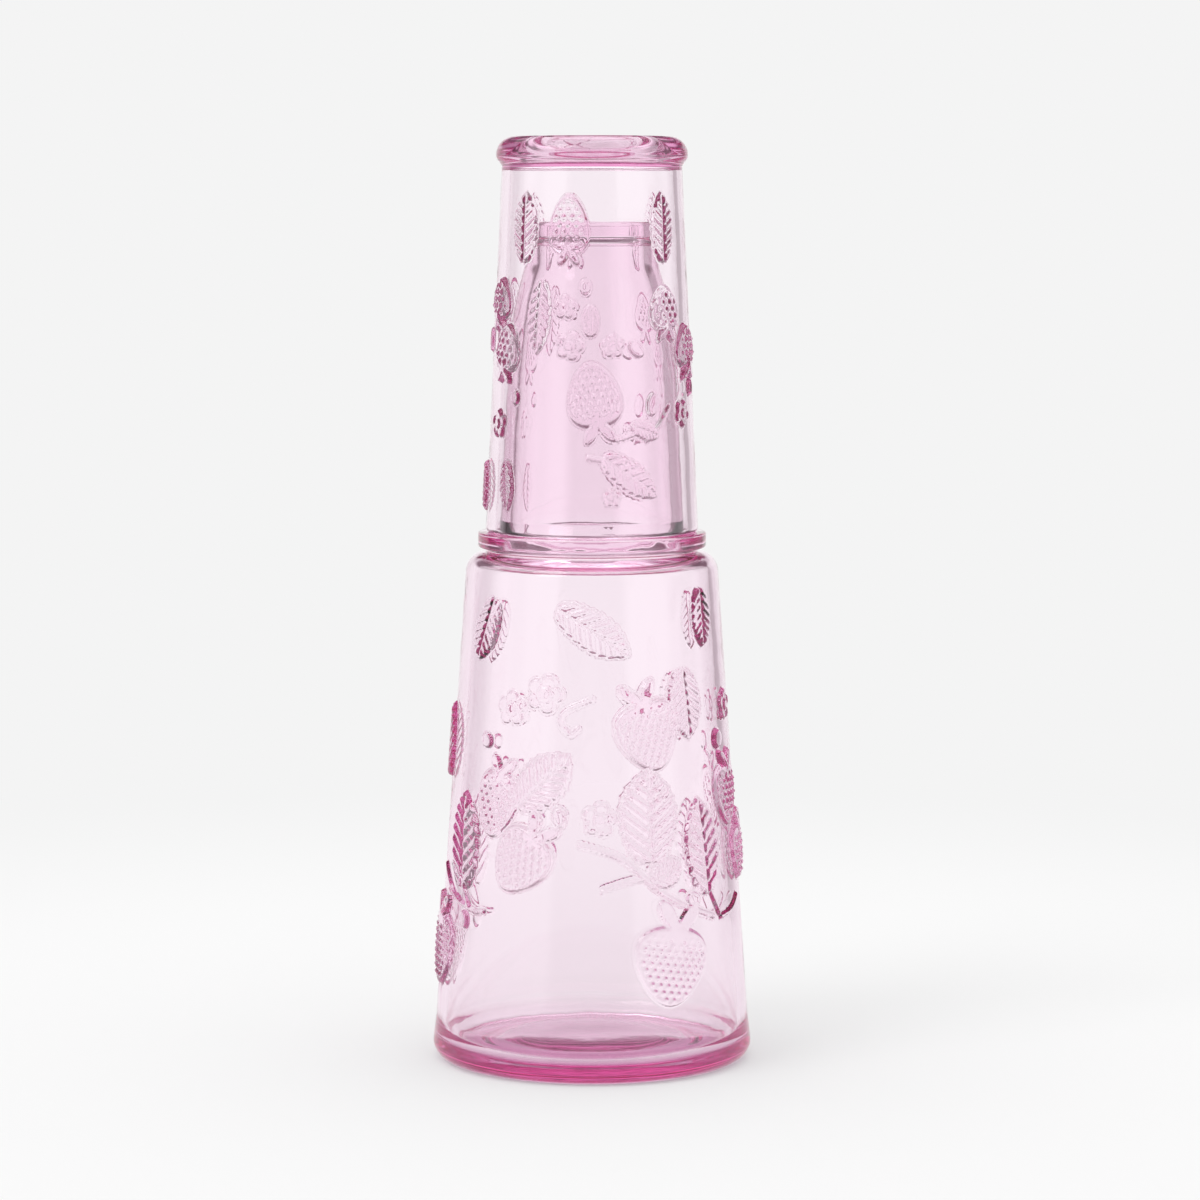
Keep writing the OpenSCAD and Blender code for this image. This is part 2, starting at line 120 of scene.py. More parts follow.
def boss(low, rise, radius, steps):
    """A low round swelling that runs out level at its radius."""
    return [(radius * t, low + rise * (1 - t**BOSS_POWER) ** 2)
            for t in np.linspace(0, 1, steps + 1)[1:]]


def softened(points, reach):
    """The same curve with its bends eased over a length, its ends kept."""
    r, z = np.array(points).T
    even = np.linspace(z[0], z[-1], EASED_RINGS)
    turn = np.interp(even, z, r)
    half = max(1, int(reach / abs(even[1] - even[0])))
    kernel = np.hanning(2 * half + 3)[1:-1]
    before, after = 2 * turn[0] - turn[half:0:-1], 2 * turn[-1] - turn[-2:-half - 2:-1]
    padded = np.concatenate([before, turn, after])
    return list(zip(np.convolve(padded, kernel / kernel.sum(), "valid"), even))


def wall_rows(foot, top):
    """Points up a straight wall, closely enough spaced to carry the pattern."""
    steps = int(round((top[1] - foot[1]) / ROW_HEIGHT))
    t = np.linspace(0, 1, steps + 1)
    return [(foot[0] + (top[0] - foot[0]) * k, foot[1] + (top[1] - foot[1]) * k) for k in t]


def between(a, b, steps):
    """Points on the line from a to b, without its ends."""
    t = np.linspace(0, 1, steps + 1)[1:-1]
    return [(a[0] + (b[0] - a[0]) * k, a[1] + (b[1] - a[1]) * k) for k in t]


# The pattern. Rows: degrees round from the front, height, length, width, and the way that the
# tip points in degrees clockwise from up. Lengths are in hundredths of the wall's height.
CARAFE_PATTERN = {
    "leaf": [(-60, 42, 21.5, 12, -3), (-20, 56.5, 16.5, 11, 45), (-87, 62.5, 16.5, 11, 0),
             (-52, 88.5, 14.5, 8.5, 200), (1, 89, 19, 9, 123), (55, 91, 13, 7.5, 178),
             (42, 72.5, 15.5, 10.5, 175), (48, 41.5, 21.5, 11.5, -5), (23, 49, 20.5, 14.5, 0),
             (30, 36.5, 8.5, 7, 60)],
    "berry": [(-41, 51, 15.5, 11.5, 190), (-29, 39, 15.5, 13.5, 215), (-77, 16.5, 17, 14.5, 182),
              (24, 66.5, 16, 14.5, 165), (68, 51.5, 14.5, 11, 180), (80, 38, 13, 11, 180),
              (31, 16, 18, 18, 190)],
    "blossom": [(-35, 72, 8, 8, 0), (-20, 75.5, 9, 9, 20), (3, 48.5, 8, 8, 10),
                (73, 71, 7.5, 7.5, 0)],
    "bud": [(-13, 49, 5, 3.5, 170), (-48, 64.5, 4, 3.5, 120), (63, 64, 4.5, 4.5, 180),
            (42, 30, 4.5, 3.5, 100), (-57, 24.5, 4.5, 3.5, 160)],
    "stalk": [[(-79, 35), (-67, 29.5), (-53, 27), (-45, 27)], [(-59, 31.5), (-54, 27)],
              [(0, 74.5), (-11, 72), (-13, 69.5), (-9, 67), (-6, 68)],
              [(-5, 43), (11, 40), (25, 33.5), (36, 29.5), (55, 25.5)],
              [(4, 33), (12, 34.5), (20, 35.5)], [(52, 31), (57, 26)],
              [(58, 25), (67, 26), (74, 28.5)]],
}
TUMBLER_PATTERN = {
    "leaf": [(-44, 85.5, 19.5, 9.5, 0), (47, 85.5, 19.5, 9, 0), (-32, 60.5, 20.5, 8, 184),
             (22, 17, 19.5, 9, 126), (-53, 14, 14, 6.5, 175), (-87, 13, 14, 8.5, 175),
             (-1, 60, 9, 5.5, 0), (31, 29.5, 9.5, 5.5, 110)],
    "berry": [(-14, 86, 17, 11, 0), (-66, 65.5, 12, 11, 0), (-57, 52, 14, 11, 5),
              (47, 63, 12.5, 11, 0), (68, 52.5, 12.5, 11.5, 0), (1, 39.5, 18.5, 15, -8)],
    "blossom": [(-16, 63.5, 7, 7, 0), (-13, 53, 8.5, 8.5, 15), (12, 53, 7, 7, 0),
                (-64, 31, 8.5, 8.5, 0), (61, 34, 8, 8, 30), (11, 11.5, 5.5, 5.5, 0)],
    "bud": [(-4, 69, 4.5, 3.5, 0), (26, 52, 6, 4, 130), (-48, 38.5, 4.5, 3.5, 0), (73, 41, 5, 4, 0),
            (36, 37, 7.5, 4.5, 15), (-86, 54, 7.5, 5.5, 0)],
    "stalk": [[(31, 27), (40, 31), (48, 36)], [(-2, 22.5), (8, 21.5)],
              [(4, 31), (12, 27.5), (24, 29)]],
}

# How high each form stands, and the tumbler's share of that; a stalk's width and the width of
# an edge; how far from its middle a form is drawn, as a share of its size
RISE = {"leaf": 1.3, "berry": 1.7, "cap": 1.7, "blossom": 1.0, "bud": 1.0, "stalk": 0.7}
TUMBLER_RISE = 0.95
STALK_WIDTH, EDGE = 1.3, 0.5
PATCH_REACH = 0.75

# The back: forms as far round as this have no twin, and how much lower twins stand at the
# foot and at the top, as shares of the wall's height
SIDE_LIMIT = 82
CARAFE_DROPS, TUMBLER_DROPS = (0.125, 0.06), (0.05, 0.0)

# Leaf: how pointed its outline is and how much more so towards the tip; its teeth; its veins
# and the midrib's groove; how high its face, its lobes and its border stand, in shares of its
# rise, and how wide the border is
LEAF_POINT, LEAF_TIP = 1.25, 0.55
TOOTH_DEPTH, TEETH = 0.14, 4.5
VEINS, VEIN_SLANT, VEIN_SHARP, MIDRIB = 7.5, 0.8, 0.6, 0.6
LEAF_FACE, LEAF_LOBES, LEAF_BORDER, BORDER_SLOPE = 0.36, 0.62, 0.3, 1.2

# Berry: its taper and how square it is; its dome; its border; its seeds
BERRY_TAPER, BERRY_NARROW, BERRY_SQUARE = 0.32, 0.4, 2.1
BERRY_FACE, BERRY_DOME = 0.3, 0.44
BORDER_RISE, BORDER_PLACE, BORDER_WIDTH = 0.14, 0.9, 0.45
SEED_PITCH, SEED_ROW, SEED_RADIUS, SEED_SHARP, SEED_RISE = 2.15, 1.75, 0.62, 0.8, 0.4
SEED_MARGIN, SEED_FADE = 1.1, 0.6

# Cap and blossom: points, the notches' share of the outline, how sharp the points are, and
# how wide the edge is
CAP_STAR, BLOSSOM_STAR = (5, 0.3, 1.7, 0.45), (5, 0.62, 0.55, 0.8)
CAP_PLACE, CAP_SIZE, CAP_FALL = 0.8, 0.92, 0.35
PETAL_FLOOR, BUTTON_SHARE, BUTTON_RISE = 0.55, 0.2, 0.95


def step_up(distance, width):
    """0 at a form's outline, 1 from width inside it, rounded at both ends."""
    t = np.clip(distance / width, 0, 1)
    return t * t * (3 - 2 * t)


def leaf_height(u, v, length, width):
    """A serrated leaf with its midrib and side veins sunk between crowned lobes."""
    x = np.clip(2 * u / length, -1, 1)
    side = np.sqrt(1 - x * x) ** (LEAF_POINT + LEAF_TIP * x)
    teeth = 1 - TOOTH_DEPTH * np.mod((x + 1) * TEETH, 1)
    inside = np.where(np.abs(2 * u / length) < 1, width / 2 * side * teeth - np.abs(v), -1)
    pitch = length / VEINS
    lobe = np.abs(np.sin(np.pi * (u - VEIN_SLANT * np.abs(v)) / pitch)) ** VEIN_SHARP
    rib = np.clip(np.abs(v) / MIDRIB, 0, 1)
    within = step_up(inside, BORDER_SLOPE)
    face = LEAF_FACE + LEAF_LOBES * lobe * rib * within + LEAF_BORDER * (1 - within)
    return step_up(inside, EDGE) * face


def berry_height(u, v, length, width):
    """A domed berry with a smooth border and staggered seeds."""
    x = 2 * u / length
    y = 2 * v / (width * np.clip(1 - BERRY_TAPER * x, BERRY_NARROW, None))
    rho = (np.abs(x) ** BERRY_SQUARE + np.abs(y) ** BERRY_SQUARE) ** (1 / BERRY_SQUARE)
    inside = (1 - rho) * width / 2
    body = BERRY_FACE + BERRY_DOME * np.sqrt(np.clip(1 - rho * rho, 0, 1))
    border = BORDER_RISE * np.exp(-(((inside - BORDER_PLACE) / BORDER_WIDTH) ** 2))
    k = np.round(u / SEED_ROW)
    du = u - k * SEED_ROW
    stagger = 0.5 * np.mod(k, 2)
    dv = v - SEED_PITCH * (np.round(v / SEED_PITCH - stagger) + stagger)
    seed = np.clip(1 - (du * du + dv * dv) / SEED_RADIUS**2, 0, 1) ** SEED_SHARP
    seed *= SEED_RISE * step_up(inside - SEED_MARGIN, SEED_FADE)
    return step_up(inside, EDGE) * (body + border + seed)


def star_height(u, v, size, points, notch, sharp, edge):
    """A star or rosette: 0 outside it, 1 well inside it, and how far out each point is."""
    reach = np.hypot(u, v)
    a = np.arctan2(v, u)
    outline = size / 2 * (notch + (1 - notch) * np.abs(np.cos(points * a / 2)) ** sharp)
    return step_up(outline - reach, edge), reach


def cap_height(u, v, size, _width):
    """Five pointed sepals spread over a berry's stalk end."""
    rise, reach = star_height(u, v, size, *CAP_STAR)
    return rise * (1.0 - CAP_FALL * reach / (size / 2))


def blossom_height(u, v, size, _width):
    """Five cupped petals round a button."""
    rise, reach = star_height(u, v, size, *BLOSSOM_STAR)
    cup = PETAL_FLOOR + (1 - PETAL_FLOOR) * np.clip(reach / (size / 2), 0, 1) ** 2
    button = step_up(BUTTON_SHARE * size - reach, EDGE)
    return rise * np.maximum(cup, BUTTON_RISE * button)


def bud_height(u, v, length, width):
    """A plain small dome."""
    rho = np.hypot(2 * u / length, 2 * v / width)
    return step_up((1 - rho) * width / 2, EDGE) * (1 + np.sqrt(np.clip(1 - rho * rho, 0, 1))) / 2


FORMS = {"leaf": leaf_height, "berry": berry_height, "cap": cap_height, "blossom": blossom_height,
         "bud": bud_height}


class Wall:
    """A straight tapered wall and the height field of the pattern on it."""

    def __init__(self, foot, top, share, back_drops):
        self.foot, self.top, self.share = foot, top, share
        self.span = top[1] - foot[1]
        self.back_drops = back_drops
        self.rows = wall_rows(foot, top)
        self.z = np.array([p[1] for p in self.rows])
        self.r = np.array([p[0] for p in self.rows])
        self.angle = np.arange(FINE_COLUMNS) * 360 / FINE_COLUMNS
        self.field = np.zeros((len(self.rows), FINE_COLUMNS))

    def radius(self, z):
        return self.foot[0] + (self.top[0] - self.foot[0]) * (z - self.foot[1]) / self.span

    def patch(self, angle, z, reach):
        """Rows and columns within reach of a place, and where they lie from it."""
        rows = np.nonzero(np.abs(self.z - z) < reach)[0]
        turn = (self.angle - angle + 180) % 360 - 180
        cols = np.nonzero(np.abs(np.radians(turn)) * self.radius(z) < reach)[0]
        s = np.radians(turn[cols])[None, :] * self.r[rows][:, None]
        t = (self.z[rows] - z)[:, None] + 0 * s
        return np.ix_(rows, cols), s, t

    def stamp(self, kind, row):
        angle, z, length, width, turn = row
        where, s, t = self.patch(angle, z, max(length, width) * PATCH_REACH)
        a = math.radians(turn)
        u = s * math.sin(a) + t * math.cos(a)
        v = s * math.cos(a) - t * math.sin(a)
        rise = RISE[kind] * self.share * FORMS[kind](u, v, length, width)
        self.field[where] = np.maximum(self.field[where], rise)

    def stalk(self, path):
        angle, z = path[0]
        flat = [(math.radians(a - angle) * self.radius(z), h - z) for a, h in path]
        points = smooth_path(flat)
        reach = max(max(abs(x), abs(y)) for x, y in points) + STALK_WIDTH
        where, s, t = self.patch(angle, z, reach)
        best = np.full(s.shape, np.inf)
        for (x0, y0), (x1, y1) in zip(points, points[1:]):
            dx, dy = x1 - x0, y1 - y0
            k = np.clip(((s - x0) * dx + (t - y0) * dy) / (dx * dx + dy * dy), 0, 1)
            best = np.minimum(best, np.hypot(s - x0 - k * dx, t - y0 - k * dy))
        ridge = np.sqrt(np.clip(1 - (best / (STALK_WIDTH / 2)) ** 2, 0, 1))
        self.field[where] = np.maximum(self.field[where], RISE["stalk"] * self.share * ridge)

    def sized(self, row):
        unit = self.span / 100
        return (row[0], self.foot[1] + row[1] * unit, row[2] * unit, row[3] * unit, row[4])

    def dropped(self, angle, z):
        """Height on the back of what stands at a place on the front."""
        low, high = self.back_drops
        share = low + (high - low) * (z - self.foot[1]) / self.span
        return z - share * self.span * math.cos(math.radians(angle))

    def twin(self, row):
        """The same form on the back, mirrored and a little lower, or None."""
        angle, z, length, width, turn = row
        low = self.dropped(angle, z)
        if abs(angle) >= SIDE_LIMIT or low - length / 2 <= self.foot[1]:
            return None
        return (180 - angle, low, length, width, -turn)

    def decorate(self, pattern):
        for kind in ("leaf", "berry", "blossom", "bud"):
            for given in pattern[kind]:
                row = self.sized(given)
                for form in filter(None, (row, self.twin(row))):
                    self.stamp(kind, form)
                    if kind == "berry":
                        self.stamp("cap", self.cap(form))
        for given in pattern["stalk"]:
            path = [self.sized((a, h, 0, 0, 0))[:2] for a, h in given]
            self.stalk(path)
            self.stalk([(180 - a, self.dropped(a, h)) for a, h in path])

    def cap(self, row):
        angle, z, length, width, turn = row
        back = -length / 2 * CAP_PLACE
        a = math.radians(turn)
        s, t = back * math.sin(a), back * math.cos(a)
        size = width * CAP_SIZE
        return (angle + math.degrees(s / self.radius(z)), z + t, size, size, turn)

    def grid(self):
        """Points of the decorated wall, row by row, as (x, y, z)."""
        taper = math.atan((self.foot[0] - self.top[0]) / self.span)
        r = self.r[:, None] + self.field * math.cos(taper)
        z = self.z[:, None] + self.field * math.sin(taper)
        a = np.radians(self.angle)[None, :]
        return np.stack([r * np.sin(a), -r * np.cos(a), z + 0 * a], axis=-1)


def smooth_path(points, steps=6):
    """A Catmull-Rom curve through the points."""
    p = [points[0]] + list(points) + [points[-1]]
    out = []
    for i in range(1, len(p) - 2):
        for t in np.linspace(0, 1, steps, endpoint=False):
            out.append(tuple(
                0.5 * (2 * p[i][k] + (p[i + 1][k] - p[i - 1][k]) * t
                       + (2 * p[i - 1][k] - 5 * p[i][k] + 4 * p[i + 1][k] - p[i + 2][k]) * t * t
                       + (3 * p[i][k] - p[i - 1][k] - 3 * p[i + 1][k] + p[i + 2][k]) * t**3)
                for k in (0, 1)))
    return out + [points[-1]]


def ring(point, columns):
    """One ring of points round the axis."""
    a = np.radians(np.arange(columns) * 360 / columns)
    r, z = point
    return np.stack([r * np.sin(a), -r * np.cos(a), np.full(columns, z)], axis=-1)


def shell(name, first_pole, rings, last_pole):
    """A closed mesh from a pole on the axis, through rings of points, to another pole.

    Neighbouring rings have the same number of points, or one has twice the other's.
    """
    verts = [np.array([[0, 0, first_pole]])] + list(rings) + [np.array([[0, 0, last_pole]])]
    starts = np.cumsum([0] + [len(v) for v in verts])
    faces = []
    for i in range(len(verts) - 1):
        a, b, n, m = starts[i], starts[i + 1], len(verts[i]), len(verts[i + 1])
        if n == 1:
            faces += [(a, b + (j + 1) % m, b + j) for j in range(m)]
        elif m == 1:
            faces += [(a + j, a + (j + 1) % n, b) for j in range(n)]
        elif n == m:
            faces += [(a + j, a + (j + 1) % n, b + (j + 1) % n, b + j) for j in range(n)]
        elif n == 2 * m:
            faces += [(a + 2 * j, a + 2 * j + 1, a + (2 * j + 2) % n, b + (j + 1) % m, b + j)
                      for j in range(m)]
        else:
            faces += [(a + j, a + (j + 1) % n, b + (2 * j + 2) % m, b + 2 * j + 1, b + 2 * j)
                      for j in range(n)]
    mesh = bpy.data.meshes.new(name)
    mesh.from_pydata((np.concatenate(verts) * MM).tolist(), [], faces)
    mesh.polygons.foreach_set("use_smooth", [True] * len(mesh.polygons))
    mesh.update()
    piece = bpy.data.objects.new(name, mesh)
    bpy.context.scene.collection.objects.link(piece)
    return piece


def stippled(start, end, edge, height, count, upwards):
    """Rings across a flat band, from a radius to another, with small notches all round."""
    step = math.copysign(edge, end - start)
    wave = np.clip(np.cos(np.arange(FINE_COLUMNS) * 2 * math.pi * count / FINE_COLUMNS), 0, 1)
    full = STIPPLE_DEPTH
    out = []
    for radius, depth in ((start, 0), (start + step, full), (end - step, full), (end, 0)):
        points = ring((radius, height), FINE_COLUMNS)
        points[:, 2] += depth * wave * (1 if upwards else -1)
        out.append(points)
    return out


def carafe_shell():
    wall = Wall(WALL_FOOT, SHOULDER, 1.0, CARAFE_DROPS)
    wall.decorate(CARAFE_PATTERN)
    taper = math.degrees(math.atan((WALL_FOOT[0] - SHOULDER[0]) / (SHOULDER[1] - WALL_FOOT[1])))
    sin_t, cos_t = math.sin(math.radians(taper)), math.cos(math.radians(taper))
    shoulder_top = SHOULDER[1] + SHOULDER_ROUND * (1 - sin_t)
    ledge_bottom = LEDGE_TOP - LEDGE_THICKNESS
    lip_bottom = LIP_TOP - LIP_HEIGHT
    bend_top = lip_bottom - LIP_STAND
    roof = shoulder_top - BODY_WALL
    bore = BEARING_RADIUS - BEARING_WIDTH
    push_up = dome(PUSH_UP, PUSH_UP_EDGE, bore - PUSH_UP_EDGE, 40, PUSH_UP_POWER)
    rings = [ring(p, PLAIN_COLUMNS) for p in push_up]
    rings += [ring(p, FINE_COLUMNS) for p in ((bore, BEARING_ROUND), (bore + BEARING_EDGE, 0))]
    stipple_out = BEARING_RADIUS - STIPPLE_PLACE
    rings += stippled(stipple_out - STIPPLE_WIDTH, stipple_out, STIPPLE_EDGE, 0,
                      STIPPLE_COUNT, True)
    heel = arc(HEEL_RADIUS - HEEL_ROUND, HEEL_ROUND, HEEL_ROUND, -90, FLARE_ANGLE, 18)
    rings += [ring(p, FINE_COLUMNS) for p in heel + between(heel[-1], WALL_FOOT, 12)]
    rings += list(wall.grid())
    shoulder = arc(SHOULDER[0] - SHOULDER_ROUND * cos_t, SHOULDER[1] - SHOULDER_ROUND * sin_t,
                   SHOULDER_ROUND, taper, 90, 20)[1:]
    low, high = WAIST_ROUND_LOW, WAIST_ROUND_HIGH
    outside = shoulder + arc(WAIST_RADIUS + low, shoulder_top + low, low, 270, 180, 4)
    outside += arc(WAIST_RADIUS + high, ledge_bottom - high, high, 180, 90, 4)
    edge = LEDGE_RADIUS - LEDGE_ROUND
    outside += arc(edge, ledge_bottom + LEDGE_ROUND, LEDGE_ROUND, -90, 0, 5)
    outside += arc(edge, LEDGE_TOP - LEDGE_ROUND, LEDGE_ROUND, 0, 90, 5)
    outside += arc(NECK_ROOT + LEDGE_ROUND, LEDGE_TOP + LEDGE_ROUND, LEDGE_ROUND, 270, 180, 5)
    neck = neck_curve(LEDGE_TOP + 2 * LEDGE_ROUND, bend_top, NECK_ROOT, NECK_TOP, 60)
    outside += softened(neck + [(NECK_TOP, lip_bottom - LIP_ROUND)], NECK_EASE)
    outside += arc(LIP_RADIUS - LIP_ROUND, lip_bottom + LIP_ROUND, LIP_ROUND, LIP_UNDERSIDE, 0, 6)
    outside += arc(LIP_RADIUS - LIP_ROUND, LIP_TOP - LIP_ROUND, LIP_ROUND, 0, 90, 8)
    outside += arc(MOUTH + LIP_ROUND / 2, LIP_TOP - LIP_ROUND / 2, LIP_ROUND / 2, 90, 180, 6)
    low_wall = FLOOR_HEIGHT + FLOOR_ROUND * (1 - sin_t)
    low_radius = wall.radius(low_wall) - BODY_WALL
    top_radius = SHOULDER[0] - BODY_WALL
    corner = arc(low_radius - FLOOR_ROUND, FLOOR_HEIGHT + FLOOR_ROUND, FLOOR_ROUND, -90, -taper, 20)
    inside = boss(FLOOR_HEIGHT, FLOOR_RISE, bore, 24) + between((bore, FLOOR_HEIGHT), corner[0], 3)
    upper = arc(top_radius - ROOF_ROUND, roof - ROOF_ROUND, ROOF_ROUND, taper, 90, 8)
    inside += corner + between(corner[-1], upper[0], 60) + upper
    inside += arc(LEDGE_BORE + LEDGE_BORE_ROUND, roof + LEDGE_BORE_ROUND, LEDGE_BORE_ROUND,
                  270, 180, 8)
    inside += [(LEDGE_BORE, LEDGE_TOP - LEDGE_SKIN)]
    bore_curve = neck_curve(LEDGE_TOP + LEDGE_SKIN, bend_top, NECK_ROOT_BORE, MOUTH, 60)
    inside += softened(bore_curve + [(MOUTH, LIP_TOP - LIP_ROUND / 2)], NECK_EASE)[:-1]
    rings += [ring(p, PLAIN_COLUMNS) for p in outside + inside[::-1]]
    return shell("carafe_glass", PUSH_UP, rings, FLOOR_HEIGHT + FLOOR_RISE)


def tumbler_shell():
    bead_height = FOOT_TOP - BEAD_ROUND
    low = (RIM_RADIUS, LEDGE_TOP)
    high = (TUMBLER_TOP_RADIUS, bead_height - BEAD_ROUND)
    rim_round = RIM_WALL / 2
    start = LEDGE_TOP + rim_round
    wall = Wall(low, high, TUMBLER_RISE, TUMBLER_DROPS)
    wall.decorate(TUMBLER_PATTERN)
    keep = wall.z > start + RIM_PLAIN
    rim_edge = wall.radius(start)
    rim = arc(rim_edge - rim_round, start, rim_round, -180, 0, 2 * HALF_RIM)
    inner_floor = FOOT_TOP - FOOT_THICKNESS
    wall_top = inner_floor - TUMBLER_FLOOR_ROUND
    top_radius = wall.radius(wall_top) - TUMBLER_WALL
    corner = arc(top_radius - TUMBLER_FLOOR_ROUND, wall_top, TUMBLER_FLOOR_ROUND, 90, 0, 12)
    inside = [(t * corner[0][0], inner_floor) for t in np.linspace(0, 1, 10)[1:-1]] + corner
    inside += between(corner[-1], rim[0], 60)
    rings = [ring(p, PLAIN_COLUMNS) for p in inside + rim[:HALF_RIM + 1]]
    rings += [ring(p, FINE_COLUMNS) for p in rim[HALF_RIM + 1:]]
    rings += list(wall.grid()[keep])
    bead = arc(BEAD_RADIUS - BEAD_LOW_ROUND, bead_height, BEAD_LOW_ROUND, BEAD_UNDERSIDE, 0, 10)
    bead += arc(BEAD_RADIUS - BEAD_ROUND, bead_height, BEAD_ROUND, 0, 90, 20)[1:]
    tuck_height = bead_height - BEAD_TUCK
    tuck = (wall.radius(tuck_height), tuck_height)
    rings += [ring(p, FINE_COLUMNS) for p in between(high, tuck, 4) + [tuck] + bead]
    flat = BEAD_RADIUS - BEAD_ROUND
    stipple_out = flat - FOOT_STIPPLE_PLACE
    rings += stippled(stipple_out, stipple_out - FOOT_STIPPLE_WIDTH, FOOT_STIPPLE_EDGE, FOOT_TOP,
                      FOOT_STIPPLE_COUNT, False)
    side, deep = flat - FOOT_RING, FOOT_TOP - FOOT_HOLLOW
    hollow = dome(deep + FOOT_DOME, deep, side - HOLLOW_ROUND, 20)
    hollow += arc(side - HOLLOW_ROUND, deep + HOLLOW_ROUND, HOLLOW_ROUND, -90, 0, 8)[1:]
    hollow += [(side, FOOT_TOP)]
    rings += [ring(p, PLAIN_COLUMNS) for p in hollow[::-1]]
    return shell("tumbler_glass", inner_floor, rings, deep + FOOT_DOME)


# The Mix node's sockets for two colours and their mix
FIRST_COLOUR, SECOND_COLOUR, MIXED_COLOUR = 6, 7, 2


class Shader:
    """Short calls for building a node tree."""

    def __init__(self, tree):
        tree.nodes.clear()
        self.nodes, self.links = tree.nodes, tree.links

    def node(self, kind, **settings):
        made = self.nodes.new("ShaderNode" + kind)
        for key, value in settings.items():
            setattr(made, key, value)
        return made

    def set(self, node, **values):
        for key, value in values.items():
            node.inputs[key.replace("_", " ")].default_value = value
        return node

    def link(self, source, target):
        self.links.new(source, target)

    def math(self, operation, a, b=None):
        made = self.node("Math", operation=operation)
        for socket, value in zip(made.inputs, (a, b)):
            if value is None:
                continue
            if isinstance(value, (int, float)):
                socket.default_value = value
            else:
                self.link(value, socket)
        return made.outputs[0]

    def ramp(self, value, low, high):
        """0 at low, 1 at high, eased between."""
        made = self.node("MapRange", interpolation_type="SMOOTHSTEP")
        self.set(made, From_Min=low, From_Max=high)
        self.link(value, made.inputs["Value"])
        return made.outputs[0]

    def mix(self, share, a, b):
        made = self.node("MixShader")
        self.link(share, made.inputs["Fac"])
        self.link(a, made.inputs[1])
        self.link(b, made.inputs[2])
        return made.outputs[0]

    def mix_colour(self, share, a, b, way="MIX"):
        made = self.node("Mix", data_type="RGBA", blend_type=way)
        self.link(share, made.inputs["Factor"])
        for place, value in ((FIRST_COLOUR, a), (SECOND_COLOUR, b)):
            if isinstance(value, tuple):
                made.inputs[place].default_value = value
            else:
                self.link(value, made.inputs[place])
        return made.outputs[MIXED_COLOUR]


def shaded(name):
    """A new material with an empty node tree."""
    material = bpy.data.materials.new(name)
    material.use_nodes = True
    return material, Shader(material.node_tree)


# Glass: how it bends light, the colour it lets through, how much of the rest it takes away
# per metre, the waves in its skin, and how rough it is at most
IOR = 1.5
TINT, CARAFE_DENSITY, TUMBLER_DENSITY = (0.9, 0.1, 0.62, 1), 30, 26
WAVE_SCALE, WAVE_DETAIL, WAVE_STRENGTH, WAVE_HEIGHT = 90, 2, 0.12, 0.0006
HAZE_LOW, HAZE_HIGH, HAZE = 0.35, 0.75, 0.02


def pink_glass(name, density):
    """Solid-coloured pressed glass: the tint lies in its thickness, the skin is a little wavy."""
    material, t = shaded(name)
    glass = t.set(t.node("BsdfPrincipled"), Base_Color=(1, 1, 1, 1), Transmission_Weight=1, IOR=IOR)
    noise = t.set(t.node("TexNoise"), Scale=WAVE_SCALE, Detail=WAVE_DETAIL)
    bump = t.set(t.node("Bump"), Strength=WAVE_STRENGTH, Distance=WAVE_HEIGHT)
    haze = t.set(t.node("MapRange"), From_Min=HAZE_LOW, From_Max=HAZE_HIGH, To_Min=0.0, To_Max=HAZE)
    tint = t.set(t.node("VolumeAbsorption"), Color=TINT, Density=density)
    out = t.node("OutputMaterial")
    t.link(t.node("TexCoord").outputs["Object"], noise.inputs["Vector"])
    t.link(noise.outputs["Fac"], bump.inputs["Height"])
    t.link(noise.outputs["Fac"], haze.inputs["Value"])
    t.link(haze.outputs["Result"], glass.inputs["Roughness"])
    t.link(bump.outputs["Normal"], glass.inputs["Normal"])
    t.link(glass.outputs["BSDF"], out.inputs["Surface"])
    t.link(tint.outputs["Volume"], out.inputs["Volume"])
    return material


# The plain background, the floor's own colour, the pink light and shade painted on it under the
# glass in place of light through the pink base, and where that painting is full, how much of the
# plain background the floor shows to rays in glass and to all, and where it fades into the
# background
BACKGROUND = (0.905, 0.905, 0.905, 1)
FLOOR_COLOUR = (0.9, 0.9, 0.9, 1)
PAINTED_PINK_LIGHT = (0.82, 0.4, 0.64, 1)
PAINTED_PINK_REACH = 0.8 * BEARING_RADIUS
FLOOR_IN_GLASS, FLOOR_PLAIN = 0.6, 0.3
FLOOR_NEAR, FLOOR_FAR = 0.16, 0.5

# The room round the object, as glass sees it: white all round, but for tall soft shades that
# only reflections show, each given by the way it stands in degrees clockwise from behind the
# object, half its width and how dark it is; a dark gap over the backdrop; a bright ceiling;
# and dusk by way of many reflections, less of it from higher up
WHITE = (1, 1, 1, 1)
SHADES = [(-64, 13, 0.8), (50, 19, 0.5), (98, 9, 0.35), (180, 32, 0.5)]
SHADE_EDGE, SHADE_COLOUR = 8, (0.1, 0.03, 0.06, 1)
GAP_LOW, GAP_HIGH, GAP_EDGE, GAP_DARK = 0.24, 0.54, 0.1, 0.9
GAP_FULL, GAP_END = 40, 75
CEILING_LOW, CEILING_HIGH, CEILING_COLOUR = 0.6, 0.75, (1.35, 1.35, 1.35, 1)
DEEP_COLOUR = (0.2, 0.02, 0.08, 1)
DEEP_FROM, DEEP_TO = 1, 5
DEEP_HIGH, DEEP_SPARE = 0.3, 0.8


